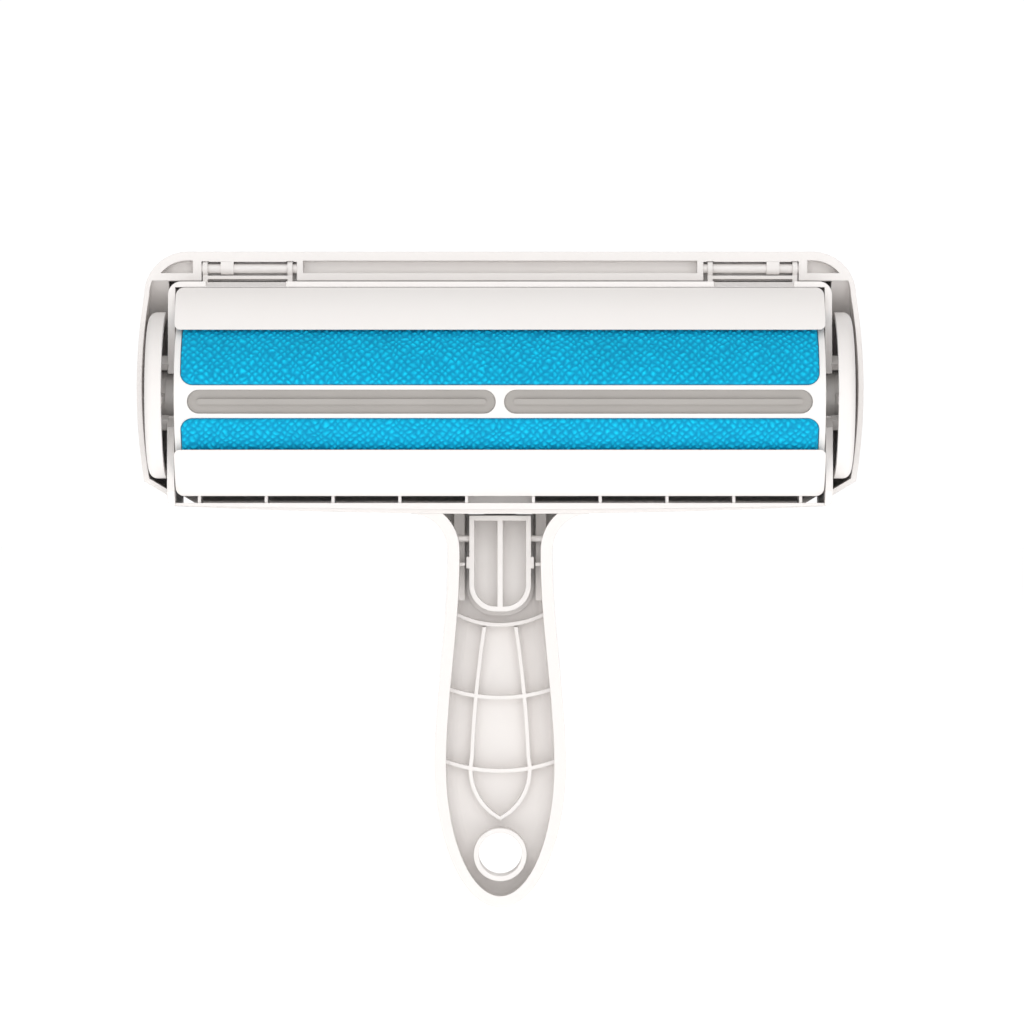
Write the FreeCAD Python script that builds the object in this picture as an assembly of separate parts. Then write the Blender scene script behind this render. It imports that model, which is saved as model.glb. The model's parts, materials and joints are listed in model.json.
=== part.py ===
"""Reusable lint roller: a T-shaped hand tool with a rocking fabric drum, a dust-box lid and a release button.

All sizes are millimetres.  Everything is drawn about the drum's axis: X runs along the drum, -Y is the
working side that meets the cloth, and +Z points from the handle towards the lid's hinge.  The finished shapes
are then shifted, so that the origin is the centre of the hanging hole in the handle.
"""

import FreeCAD, Part
import math
import os

V = FreeCAD.Vector
X_AXIS = V(1, 0, 0)

# ---- the sizes that the rest follows
HEAD_HALF = 91.4  # middle plane to the outer face of an end wall
DRUM_R = 21.6
TIP_Z = -143.0  # low end of the handle
BUTTON_HALF = 8.6
WHEEL_WIDE = 4.65
WHEEL_GAP = 0.95  # end wall to wheel
HINGE_R = 1.3

# ---- head: end walls, top and bottom wall, all one moulding with the handle
END_WALL = 2.0
HEAD_FRONT = -8.0  # front edges of the top and bottom walls
END_FRONT = (-9.0, -12.0)  # front edges of an end wall above and below the bearing
HEAD_TOP = DRUM_R + 9.6  # upper face of the top wall
TOP_WALL = 1.6
TOP_WALL_BACK = 12.0
FLOOR = -DRUM_R - 8.2  # inner face of the bottom wall
FLOOR_THIN = 0.8  # bottom wall at its ends
FLOOR_BOW = 2.2  # how much lower it bows in the middle
LIP_BOW = 1.0  # the same for the front strip of the bottom wall
LIP_DEEP = 3.0  # how deep that strip is
FLOOR_BACK = 26.0
RIB_COUNT = 10
RIB_PITCH = (HEAD_HALF - 8.6) / 4.5
RIB_WALL = 0.85
HEAD_CORNERS = (3.6, 1.5)  # radii of the upper and lower corners, seen from the front
NOTCH_DEEP = 4.0  # slope that the top wall has between a pair of hinge arms

# ---- drum
DRUM_HALF = HEAD_HALF - 2.5
DRUM_SHELL = 1.6
DRUM_SPAN = 105.0  # degrees that the round side reaches, each way from its middle
REST_TURN = 6.0  # degrees that the drum rests turned towards the handle
BAR_WIDTH = 9.1  # white bar between the two fabric strips
WINDOW_REACH = 80.0  # degrees from the middle of the bar to the far edge of a strip
WINDOW_HALF = DRUM_HALF - 1.7
WINDOW_CORNER = 3.4
FABRIC_PROUD = 0.8  # pile above the drum's shell
SLOT_WIDTH = 6.5
SLOT_BRIDGE = 2.3
SLOT_END = DRUM_HALF - 3.6
GRIP_SUNK = 1.0  # rubber face below the drum's shell
RIDGE_WIDTH = 1.5
RIDGE_INSET = 2.6
JOURNAL_R = 6.4
SPIGOT_R = 4.0
END_CAP = 2.0
TRAVEL_UP = 40.0  # degrees of swing towards the lid's hinge
TRAVEL_DOWN = 20.0  # and towards the handle

# ---- side wheels
WHEEL_R = DRUM_R + 1.4
WHEEL_RIM = 2.2
WHEEL_WEB = 1.5
WHEEL_ROUND = 2.2
HUB_R = 6.6
STOP_R = (10.2, 12.6)
STOP_SPAN = 18.0  # degrees that a stop lug covers
STOP_HIGH = 2.4
STOP_RIB = 2.2  # the wheel's rib that meets them
DISH = (6.0, 0.5)  # width of a wheel's flange round its dish, and the dish's depth

# ---- scraper plates and their cleaning pads
PLATE_HALF = HEAD_HALF - END_WALL - 0.3
PLATE_WALL = 1.8
PLATE_LIP = {"upper": DRUM_R - 4.0, "lower": DRUM_R - 6.3}  # height of the lip above or below the drum's axis
PLATE_EDGE = {"upper": HEAD_TOP - TOP_WALL - 0.1, "lower": -FLOOR - 1.9}  # height of the outer long edge
PLATE_BULGE = 0.9
PLATE_CORNERS = (1.6, 2.2)  # radii at the lip and at the outer edge
PEG_R = 1.3
PEG_PLACE = {"upper": (-6.5, DRUM_R + 3.0), "lower": (-6.9, DRUM_R + 2.8)}
PAD_THICK = 1.7
PAD_TO = 77.0

# ---- lid
LID_TOP = HEAD_TOP + 8.6
LID_WALL = 1.4
RIM_Y = 0.0  # front edge of the lid
LID_BACK = DRUM_R + 21.4
LID_BOTTOM = FLOOR - 2.0
LID_CORNER = 12.0
LID_SHOULDER = HEAD_HALF + WHEEL_GAP + WHEEL_WIDE + 1.6  # half width where the round corner ends
LID_BULGE = 2.1  # how much wider the sides are at the wheels
LID_SLOPE = (13.4, 8.0)  # width and height of the sloping lower corner
TOP_DOME = (8.0, 26.0)  # depth where the top starts to curve in, and how far it comes in by the back
SIDE_DOME = (18.0, 11.0)
LOW_DOME = (18.0, 20.0)
BEAM_LOW = HEAD_TOP + 0.6  # underside of the beam along the hinge edge
BEAM_DEEP = 6.0
BEAM_SKIN = 2.1
POCKET_DEEP = 4.0
POCKET_WALL = 1.7
# front face of the sloping web in each upper corner, above the wheel
WEB = ((1.0, BEAM_LOW + 0.4), (13.0, BEAM_LOW - 10.3))
WEB_THICK = 1.5

# ---- hinge
HINGE_Y = 1.6
HINGE_Z = HEAD_TOP + 4.0
HINGE_FIT = 0.08
BAY = (HEAD_HALF - 35.1, HEAD_HALF - 8.7)  # the gap in the beam on each side
POCKET_HALF = BAY[0] - POCKET_WALL
CORNER_POCKET = BAY[1] + 2.4
BAY_CEILING = HINGE_Z + 1.8
BAY_DEEP = 4.4
KNUCKLE_R = HINGE_R + 0.9
ARM_WALL = 1.4
POST_FRONT = 1.2  # an arm's front face ahead of the pin's axis
ARM_GAP = 0.3
TAB_AT = BAY[1] - 7.1
TAB_WIDE = 3.6
TAB_R = HINGE_R + 0.45

# ---- handle
NECK_HALF = BUTTON_HALF + 5.95
NECK_Z = FLOOR - 15.2
NECK_FILLET = 10.0
GRIP_HALF = NECK_HALF + 3.85
GRIP_Z = TIP_Z + 40.0
RIM_WALL = 3.3
SKIN_WALL = 2.0
WAIST_Z = (FLOOR + TIP_Z) / 2 + 1.4
FRONT_CURVE = [(-5.0, FLOOR), (3.6, WAIST_Z), (13.0, TIP_Z - 2)]  # side view of the open face
BACK_CURVE = [(23.0, FLOOR), (17.6, WAIST_Z), (25.0, TIP_Z - 2)]  # side view of the back
HANDLE_ROUND = 5.0
RIB_THIN = 1.1
RIB_HIGH = 5.0
RIB_ENDS = (FLOOR - 31.0, GRIP_Z - 0.6)  # heights of the highest and the lowest rib across the handle
# each rib's height at the sides, and its sag at the middle
CROSS_RIBS = [(RIB_ENDS[0], 3.6), (sum(RIB_ENDS) / 2 - 0.9, 1.6), (RIB_ENDS[1], 1.6)]
# half width at the first rib and at the widest, the height of the widest place, and the length below it
LONG_RIB = (4.4, 7.9, GRIP_Z + 2.0, 17.0)

# ---- hanging hole
HOLE_R = 6.0
HOLE_BOSS = 1.4
HOLE_LONG = 11.2
HOLE_Y = 16.4
HOLE_Z = TIP_Z + 15.0

# ---- release button
BUTTON_TOP = FLOOR - 3.5
BUTTON_LOW = BUTTON_TOP - 26.7
BUTTON_CORNER = 7.4
BUTTON_WALL = 1.4
BUTTON_RIB = 1.5
BUTTON_FRONT = 7.0
BUTTON_PROUD = 0.9  # finger face behind the handle's back
BUTTON_SKIN = 6.5  # finger wall
BUTTON_GAP = 0.4
BUTTON_DROP = 0.9  # room for the low end as it swings in
# how far the button's stop flange stands out at the sides, and how much further at the low end
FLANGE = (0.8, 0.6)
FLANGE_THICK = 1.2
FLANGE_SHIFT = 0.9  # the flange's upper part is this much further in, because it swings out
FLANGE_SPLIT = 3.0  # the upper part starts this far below the pivots
LUG = (0.8, 1.6)  # how far a guide lug stands out of the button, and half its height
LUG_Z = BUTTON_TOP - 13.1
LEDGE = 0.9  # height of the ledge beside each lug
SHELF = (12.5, BUTTON_LOW + 3.0)  # front and low end of the shelves beside the button, inside the neck
PIVOT_Y = 9.0
PIVOT_Z = BUTTON_TOP - 6.4
PIVOT_R = 0.85
PIVOT_REACH = NECK_HALF - RIM_WALL / 2  # end of a pivot, inside the neck's wall
PIVOT_FIT = 0.08
HOOK_HALF = 4.5
HOOK_Y = (20.3, 22.6)
HOOK_TOP = FLOOR + 1.5
TONGUE_HALF = 7.0  # lid's catch: a tongue over the bottom wall with a window for the hook
TONGUE_FRONT = 18.4
TONGUE_BAR = 1.6
TONGUE_THICK = 1.4

CLEAR = 0.3  # between bodies that pass each other
SNUG = 0.1  # round a piece that sits in a pocket

# ---- sizes that follow from those above
BAR_ANGLE = math.degrees(BAR_WIDTH / 2 / DRUM_R)
CORE_R = DRUM_R - DRUM_SHELL
FABRIC_R = DRUM_R + FABRIC_PROUD
PAD_R = FABRIC_R + CLEAR + 0.2  # inner face of a pad
SEAT_R = PAD_R + PAD_THICK
FLOOR_LOW = FLOOR - FLOOR_THIN - FLOOR_BOW  # lowest line of the bottom wall
NECK_CEILING = FLOOR_LOW + 0.2


def shell(*steps, plane="yz"):
    """Closed wire.  A step (a, b) is a line to there; ((a, b), (c, d)) is an arc through its first point."""
    def point(p):
        return V(0, p[0], p[1]) if plane == "yz" else V(p[0], 0, p[1])
    last = point(steps[0])
    start, edges = last, []
    for step in steps[1:]:
        if isinstance(step[0], tuple):
            end = point(step[1])
            edges.append(Part.Arc(last, point(step[0]), end).toShape())
        else:
            end = point(step)
            edges.append(Part.makeLine(last, end))
        last = end
    if last.distanceToPoint(start) > 1e-6:
        edges.append(Part.makeLine(last, start))
    return Part.Wire(edges)


def along_x(wire, low, high):
    """Solid from an outline in the YZ plane, between two places along X."""
    return Part.Face(wire).extrude(V(high - low, 0, 0)).translated(V(low, 0, 0))


def along_y(wire, low, high):
    """Solid from an outline in the XZ plane, between two places along Y."""
    return Part.Face(wire).extrude(V(0, high - low, 0)).translated(V(0, low, 0))


def block(x, y, z):
    """Box between two values on each axis."""
    return Part.makeBox(x[1] - x[0], y[1] - y[0], z[1] - z[0], V(x[0], y[0], z[0]))


def rod(radius, low, high, y=0.0, z=0.0):
    """Cylinder along X."""
    return Part.makeCylinder(radius, high - low, V(low, y, z), X_AXIS)


def sector(r_in, r_out, low, high, x_low, x_high):
    """Piece of a tube about the drum's axis, between two angles in degrees up from the front."""
    def at(radius, angle):
        a = math.radians(angle)
        return (-radius * math.cos(a), radius * math.sin(a))
    middle = (low + high) / 2
    wire = shell(at(r_in, low), at(r_out, low), (at(r_out, middle), at(r_out, high)), at(r_in, high),
                 (at(r_in, middle), at(r_in, low)))
    return along_x(wire, x_low, x_high)


def stadium(x_low, x_high, width, y_low, y_high, z=0.0):
    """Bar along X with round ends."""
    r = width / 2
    wire = shell((x_low + r, z - r), (x_high - r, z - r), ((x_high, z), (x_high - r, z + r)),
                 (x_low + r, z + r), ((x_low, z), (x_low + r, z - r)), plane="xz")
    return along_y(wire, y_low, y_high)


def mirrored(shape):
    """The same piece on the other side of the middle plane."""
    return shape.mirror(V(0, 0, 0), X_AXIS)


def both(shape):
    """The piece and its mirror image."""
    return [shape, mirrored(shape)]


def fuse(shapes):
    return shapes[0].multiFuse(shapes[1:]).removeSplitter()


def at_rest(shape):
    """Turns a piece of the drum to where it rests."""
    return shape.rotated(V(0, 0, 0), X_AXIS, REST_TURN)


# ------------------------------------------------------------------ drum
def strip_sector(r_in, r_out, side, inset=0.0):
    """Space of one fabric strip, with rounded corners; side is 1 above the bar and -1 below it."""
    turn = math.degrees(inset / DRUM_R)
    low, high = BAR_ANGLE + turn, WINDOW_REACH - turn
    half = WINDOW_HALF - inset
    body = sector(r_in, r_out, min(side * low, side * high), max(side * low, side * high), -half, half)
    corners = [e for e in body.Edges
               if e.Curve.TypeId == "Part::GeomLine" and abs(e.tangentAt(e.FirstParameter).x) < 1e-6]
    return body.makeFillet(WINDOW_CORNER - inset, corners)


def slot_space(inset=0.0):
    """The slot on the +X side, through the shell's front."""
    depth = (-DRUM_R - 1, -CORE_R + 2.5)
    return stadium(SLOT_BRIDGE / 2 + inset, SLOT_END - inset, SLOT_WIDTH - 2 * inset, *depth)


def drum_frame():
    """Outer shell: round side with two strip windows, the bar between them and its two slots."""
    body = sector(CORE_R, DRUM_R, -DRUM_SPAN, DRUM_SPAN, -DRUM_HALF, DRUM_HALF)
    for side in (1, -1):
        body = body.cut(strip_sector(CORE_R - 1, DRUM_R + 1, side))
    for slot in both(slot_space()):
        body = body.cut(slot)
    return at_rest(body)


def d_section(radius):
    """The drum's inner outline: a round front closed by a flat back."""
    a = math.radians(DRUM_SPAN)
    end = (-radius * math.cos(a), radius * math.sin(a))
    return shell((end[0], -end[1]), ((-radius, 0), end), (end[0], -end[1]))


def drum_core():
    """Hollow inner body that carries the strips and closes the drum's back."""
    half = DRUM_HALF - END_CAP - SNUG
    body = along_x(d_section(CORE_R), -half, half)
    hollow = along_x(d_section(CORE_R - DRUM_SHELL), -half - 1, half + 1).translated(V(0, -DRUM_SHELL, 0))
    hollow = hollow.common(along_x(d_section(CORE_R - DRUM_SHELL), -half - 1, half + 1))
    return at_rest(body.cut(hollow))


def fabric_strip(side):
    """Pile strip above the bar (side 1) or below it (side -1), on the drum's core."""
    return at_rest(strip_sector(CORE_R, FABRIC_R, side, SNUG))


def grip_insert():
    """Rubber insert on the +X side: a flat bed in the slot with one raised ridge along it."""
    face = DRUM_R - GRIP_SUNK
    bed = stadium(SLOT_BRIDGE / 2 + SNUG, SLOT_END - SNUG, SLOT_WIDTH - 2 * SNUG, -face, -CORE_R + 3)
    ridge = stadium(SLOT_BRIDGE / 2 + RIDGE_INSET, SLOT_END - RIDGE_INSET, RIDGE_WIDTH, -DRUM_R + 0.1, -face)
    body = fuse([bed, ridge])
    return at_rest(body.cut(rod(CORE_R, -DRUM_HALF, DRUM_HALF)))


def end_cap():
    """Disc that closes the drum's +X end, the journal that turns in the end wall, and the wheel's spigot."""
    disc = along_x(d_section(CORE_R), DRUM_HALF - END_CAP, DRUM_HALF)
    journal = rod(JOURNAL_R, DRUM_HALF, HEAD_HALF + WHEEL_GAP)
    spigot = rod(SPIGOT_R, HEAD_HALF + WHEEL_GAP, HEAD_HALF + WHEEL_GAP + WHEEL_WIDE - WHEEL_WEB)
    return at_rest(fuse([disc, journal, spigot]))


def wheel():
    """Side wheel on the +X side: rim, web, hub and the rib that meets the stop lugs."""
    inner = HEAD_HALF + WHEEL_GAP
    outer = inner + WHEEL_WIDE
    body = rod(WHEEL_R, inner, outer)
    face_edge = [e for e in body.Edges
                 if e.Curve.TypeId == "Part::GeomCircle" and e.BoundBox.XMin > outer - 0.01]
    body = body.makeFillet(WHEEL_ROUND, face_edge)
    hollow = rod(WHEEL_R - WHEEL_RIM, inner - 1, outer - WHEEL_WEB).cut(rod(HUB_R, inner - 1, outer))
    rib = block((inner, outer - WHEEL_WEB), (-WHEEL_R + 1, -HUB_R + 1), (-STOP_RIB / 2, STOP_RIB / 2))
    body = body.cut(hollow).fuse(rib.common(rod(WHEEL_R - 1, inner, outer)))
    dish = rod(WHEEL_R - DISH[0], outer - DISH[1], outer + 1)
    body = body.cut(dish).cut(rod(SPIGOT_R, inner - 1, outer - WHEEL_WEB))
    return at_rest(body.removeSplitter())


# ------------------------------------------------------------------ scraper plates and pads
def plate_points(name):
    """Lip and outer edge of a plate's face as (y, z), for a plate above the drum's axis."""
    lip_z, edge_z = PLATE_LIP[name], PLATE_EDGE[name]
    lip = (-math.sqrt(PAD_R ** 2 - lip_z ** 2) - PLATE_WALL, lip_z)
    return lip, (HEAD_FRONT - 0.4, edge_z)


def scraper(name):
    """Curved plate from its lip beside the drum to its outer edge, with a pad seat and a peg at each end."""
    lip, edge = plate_points(name)
    run = (edge[0] - lip[0], edge[1] - lip[1])
    length = math.hypot(*run)
    out = (-run[1] / length, run[0] / length)

    def offset(p, distance):
        return (p[0] + out[0] * distance, p[1] + out[1] * distance)
    middle = ((lip[0] + edge[0]) / 2, (lip[1] + edge[1]) / 2)
    face = shell(lip, (offset(middle, PLATE_BULGE), edge), offset(edge, -PLATE_WALL),
                 (offset(middle, PLATE_BULGE - PLATE_WALL), offset(lip, -PLATE_WALL)))
    plate = along_x(face, -PLATE_HALF, PLATE_HALF)
    lip_angle = math.degrees(math.asin(lip[1] / PAD_R))
    seat = sector(SEAT_R, SEAT_R + PLATE_WALL, lip_angle + 4, PAD_TO + 2, -PLATE_HALF, PLATE_HALF)
    body = plate.fuse(seat.cut(front_of(name)))
    body = body.cut(rod(PAD_R, -PLATE_HALF - 1, PLATE_HALF + 1))
    body = body.cut(block((-PLATE_HALF - 1, PLATE_HALF + 1), (-40, lip[0] + 2.5), (0, lip[1])))
    body = round_corners(body.removeSplitter())
    for peg in both(rod(PEG_R, PLATE_HALF - 2, HEAD_HALF - 0.5, *PEG_PLACE[name])):
        body = body.fuse(peg)
    return body.removeSplitter()


def front_of(name):
    """The space in front of a plate's face, so that its seat never shows through."""
    lip, edge = plate_points(name)
    wire = shell((lip[0] - 20, lip[1] - 8), lip, edge, (edge[0], edge[1] + 12), (lip[0] - 20, edge[1] + 12))
    return along_x(wire, -PLATE_HALF - 1, PLATE_HALF + 1)


def corner_cutter(x, z, r, y):
    """What rounding a corner at (x, z) takes off, seen from the front; r is negative for a low corner."""
    side = math.copysign(1, x)
    centre = (x - side * abs(r), z - r)
    square = block(sorted((centre[0], x + side)), y, sorted((centre[1], z + math.copysign(1, r))))
    start = V(centre[0], y[0] - 1, centre[1])
    return square.cut(Part.makeCylinder(abs(r), y[1] - y[0] + 2, start, V(0, 1, 0)))


def round_corners(body):
    """Rounds a plate's four corners as seen from the front."""
    box = body.BoundBox
    for side in (1, -1):
        body = body.cut(corner_cutter(side * PLATE_HALF, box.ZMin, -PLATE_CORNERS[0], (-40, -7)))
        body = body.cut(corner_cutter(side * PLATE_HALF, box.ZMax, PLATE_CORNERS[1], (-40, -7)))
    return body


def cleaning_pad(name):
    """Pile pad on a plate's seat, which wipes the drum's strips clean."""
    lip, _ = plate_points(name)
    lip_angle = math.degrees(math.asin(lip[1] / PAD_R))
    half = PLATE_HALF - 1.5
    pad = sector(PAD_R, SEAT_R, lip_angle + 6, PAD_TO, -half, half)
    return pad.cut(scraper(name))


def below(shape):
    """Mirrors a piece from above the drum's axis to below it."""
    return shape.mirror(V(0, 0, 0), V(0, 0, 1))


# ------------------------------------------------------------------ lid
def dome(y, start, back):
    """Share of a side's full draw-in at a depth: an ellipse from its start to the lid's back."""
    u = min(max((y - start) / (back - start), 0.0), 1.0)
    return 1 - math.sqrt(1 - u * u)


def lid_section(y, inset=0.0):
    """Outline of the lid at a depth: flat top, round corners, bulging sides and sloping low corners."""
    back = LID_BACK - inset
    in_top, in_side, in_low = (drop * dome(y, start, back) for start, drop in (TOP_DOME, SIDE_DOME, LOW_DOME))
    top, bottom = LID_TOP - inset - in_top, LID_BOTTOM + inset + in_low
    half = LID_SHOULDER - inset - in_side
    ease = 1 - 0.4 * dome(y, SIDE_DOME[0], back)
    r = (LID_CORNER - inset) * ease
    lean = math.atan2(LID_SLOPE[1], LID_SLOPE[0])
    slope = (LID_SLOPE[0] - inset * (1 - (1 - math.cos(lean)) / math.sin(lean))) * ease
    rise = (LID_SLOPE[1] - inset * (1 - (1 - math.sin(lean)) / math.cos(lean))) * ease
    bend = r * (1 - math.sqrt(0.5))
    high, low = top - r, bottom + rise
    bulge = (half + LID_BULGE, (high + low) / 2)
    wire = shell((half - r, top), ((half - bend, top - bend), (half, high)), (bulge, (half, low)),
                 (half - slope, bottom), (slope - half, bottom), (-half, low),
                 ((-bulge[0], bulge[1]), (-half, high)), ((bend - half, top - bend), (r - half, top)),
                 plane="xz")
    return wire.translated(V(0, y, 0))


def lid_block(inset, front):
    """Solid block with the lid's outer shape, drawn in by an inset: straight at its rim, domed to its back."""
    start, back = TOP_DOME[0], LID_BACK - inset
    levels = [start + (back - start) * math.sin(math.radians(a)) for a in (0, 15, 30, 45, 60, 70, 80, 90)]
    rim = Part.Face(lid_section(start, inset)).extrude(V(0, front - start, 0))
    return fuse([rim, Part.makeLoft([lid_section(y, inset) for y in levels], True)])


def lid_shell():
    """Dust-box lid: dome, hinge beam with its pockets and bays, and the catch that the button's hook holds."""
    outer = lid_block(0.0, RIM_Y)
    body = outer.cut(lid_block(LID_WALL, RIM_Y - 5))
    beam = outer.common(block((-110, 110), (RIM_Y, RIM_Y + BEAM_DEEP), (BEAM_LOW, LID_TOP + 1)))
    beam = beam.cut(block((-POCKET_HALF, POCKET_HALF), (RIM_Y - 1, RIM_Y + POCKET_DEEP),
                          (BEAM_LOW + BEAM_SKIN, LID_TOP - 2.5)))
    corner = Part.Face(lid_section(RIM_Y - 1, 2.4)).extrude(V(0, POCKET_DEEP + 1, 0))
    for side in both(block((CORNER_POCKET, 110), (RIM_Y - 2, RIM_Y + 10), (BEAM_LOW + BEAM_SKIN, LID_TOP))):
        beam = beam.cut(corner.common(side))
    body = body.fuse(beam)
    for bay in both(block(BAY, (RIM_Y - 1, RIM_Y + BAY_DEEP), (BEAM_LOW - 1, BAY_CEILING))):
        body = body.cut(bay)
    body = add_hinge_seats(body)
    half = HEAD_HALF + 0.5
    body = body.cut(block((-half, half), (RIM_Y - 1, FLOOR_BACK + 0.6), (LID_BOTTOM - 5, -20)))
    for web in both(corner_web(outer)):
        body = body.fuse(web)
    return body.fuse(lid_catch(outer)).removeSplitter()


def corner_web(outer):
    """Sloping web in the lid's +X upper corner, above the wheel."""
    (y0, z0), (y1, z1) = WEB
    length = math.hypot(y1 - y0, z1 - z0)
    back = ((z0 - z1) / length * WEB_THICK, (y1 - y0) / length * WEB_THICK)
    wire = shell(WEB[0], WEB[1], (y1 + back[0], z1 + back[1]), (y0 + back[0], z0 + back[1]))
    return along_x(wire, HEAD_HALF + 0.5, LID_SHOULDER + LID_BULGE).common(outer)


def lid_catch(outer):
    """Tongue from the lid's low edge over the bottom wall, with a window that the button's hook rises into."""
    low = FLOOR + CLEAR
    high = low + TONGUE_THICK
    tongue = block((-TONGUE_HALF, TONGUE_HALF), (TONGUE_FRONT, FLOOR_BACK + 4), (low, high))
    root = block((-TONGUE_HALF, TONGUE_HALF), (FLOOR_BACK + 0.6, FLOOR_BACK + 4), (LID_BOTTOM - 2, high))
    root = root.common(outer)
    window = block((-HOOK_HALF - 0.5, HOOK_HALF + 0.5), (TONGUE_FRONT + TONGUE_BAR, HOOK_Y[1] + 2.2),
                   (low - 1, high + 1))
    return fuse([tongue, root]).cut(window)


def add_hinge_seats(body):
    """Room for the housing's knuckles, a tab that holds each pin, and the pin's blind holes."""
    for arm in arm_places():
        for room in both(rod(KNUCKLE_R + CLEAR, arm[0] - ARM_GAP, arm[1] + ARM_GAP, HINGE_Y, HINGE_Z)):
            body = body.cut(room)
    low, high = TAB_AT - TAB_WIDE / 2, TAB_AT + TAB_WIDE / 2
    tab = rod(TAB_R, low, high, HINGE_Y, HINGE_Z).fuse(
        block((low, high), (HINGE_Y - TAB_R, HINGE_Y + TAB_R), (HINGE_Z, BAY_CEILING)))
    for side in both(tab):
        body = body.fuse(side)
    for pin in both(hinge_pin()):
        body = body.cut(pin)
    return body


def arm_places():
    """X ranges of the two hinge arms on the +X side."""
    inner = BAY[0] + ARM_GAP + 0.9
    outer = BAY[1] - ARM_GAP
    return [(inner, inner + ARM_WALL), (outer - ARM_WALL, outer)]


def hinge_pin():
    """Pin of the +X hinge, held in the walls at both ends of its bay."""
    return rod(HINGE_R, BAY[0] - 0.9, BAY[1] + 0.9, HINGE_Y, HINGE_Z)


# ------------------------------------------------------------------ handle
def handle_outline(inset=0.0, top=FLOOR):
    """Handle seen from the front: a waist at the neck, a slow swell and an elliptical end."""
    neck, grip, tip = NECK_HALF - inset, GRIP_HALF - inset, TIP_Z + inset
    span = (NECK_Z - GRIP_Z) / 3
    side = Part.BezierCurve()
    side.setPoles([V(neck, 0, NECK_Z), V(neck, 0, NECK_Z - span),
                   V(grip, 0, GRIP_Z + span), V(grip, 0, GRIP_Z)])
    right = side.toShape()
    left = right.mirror(V(0, 0, 0), X_AXIS)
    end = Part.Ellipse(V(0, 0, tip), V(grip, 0, GRIP_Z), V(0, 0, GRIP_Z)).toShape(-math.pi / 2, math.pi / 2)
    corners = [V(-neck, 0, NECK_Z), V(-neck, 0, top), V(neck, 0, top), V(neck, 0, NECK_Z)]
    sides = [Part.makeLine(p, q) for p, q in zip(corners, corners[1:])]
    return Part.Wire(Part.__sortEdges__(sides + [right, end, left]))


def handle_profile(front_in=0.0, back_in=0.0):
    """Handle seen from the side, between its open face and its back."""
    front = [(y + front_in, z) for y, z in FRONT_CURVE]
    back = [(y - back_in, z) for y, z in BACK_CURVE]
    return shell(front[0], (front[1], front[2]), back[2], (back[1], back[0]))


def long_edges(body, y):
    """Edges that run along the handle behind a depth."""
    return [e for e in body.Edges if e.CenterOfMass.y > y and e.CenterOfMass.z < NECK_Z + 10
            and e.BoundBox.ZLength > 5 and e.BoundBox.YLength < 30]


def handle_body():
    """Outer block of the handle with its rounded back."""
    body = along_y(handle_outline(), -20, 60).common(along_x(handle_profile(), -40, 40))
    edges = long_edges(body, 12)
    return body.makeFillet(HANDLE_ROUND, edges)


def handle_hollow():
    """Space inside the handle, open to the working side."""
    body = along_y(handle_outline(RIM_WALL, NECK_CEILING), -40, 60)
    body = body.common(along_x(handle_profile(-30, SKIN_WALL), -40, 40))
    edges = long_edges(body, 10)
    body = body.makeFillet(HANDLE_ROUND - SKIN_WALL, edges)
    side_view = along_x(handle_profile(-30, HANDLE_ROUND + SKIN_WALL), -60, 60)
    return fuse([body] + [c.common(side_view) for c in neck_corners(RIM_WALL, NECK_CEILING, (-40, 40))])


def rib_region():
    """Space that the handle's ribs may fill: the hollow, near its floor."""
    region = handle_hollow()
    low = along_x(handle_profile(-60, SKIN_WALL + RIB_HIGH), -40, 40)
    return region.cut(low)


def cross_rib(z, sag):
    """One rib across the handle that sags towards the tip."""
    half = 25.0
    drop = sag * (half / 11.5) ** 2
    low, high = z + drop - sag, z + drop - sag + RIB_THIN
    wire = shell((-half, low), ((0, z - sag), (half, low)), (half, high),
                 ((0, z - sag + RIB_THIN), (-half, high)), plane="xz")
    return along_y(wire, -40, 60)


def long_ribs():
    """Two ribs along the handle that meet in a round end."""
    start, widest, z, reach = LONG_RIB
    top = CROSS_RIBS[0][0] - CROSS_RIBS[0][1]

    def loop(grow):
        wide, deep, top_wide = widest + grow, reach + grow, start + grow
        middle = ((start + widest) / 2 + grow + 0.5, (top + z) / 2)
        bend = (wide * math.sqrt(0.5), z - deep * math.sqrt(0.5))
        wire = shell((top_wide, top), (middle, (wide, z)), (bend, (0, z - deep)),
                     ((-bend[0], bend[1]), (-wide, z)), ((-middle[0], middle[1]), (-top_wide, top)),
                     plane="xz")
        return along_y(wire, -40, 60)
    return loop(RIB_THIN / 2).cut(loop(-RIB_THIN / 2))


def neck_corners(inset, top, depth):
    """Concave corners that flare the neck out into the bottom wall, drawn in by an inset."""
    centre = (NECK_HALF + NECK_FILLET, FLOOR_LOW - NECK_FILLET)
    r = NECK_FILLET + inset
    high = min(top, FLOOR_LOW)
    reach = centre[0] - math.sqrt(r * r - (high - centre[1]) ** 2)
    angle = (math.pi + math.atan2(high - centre[1], reach - centre[0])) / 2
    middle = (centre[0] + r * math.cos(angle), centre[1] + r * math.sin(angle))
    low = (centre[0] - r, centre[1])
    steps = [(low[0] - 1, high), (low[0] - 1, low[1]), low, (middle, (reach, high))]
    if top > high:
        steps = [(low[0] - 1, top)] + steps[1:] + [(reach, top)]
    return both(along_y(shell(*steps, plane="xz"), *depth))


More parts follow.
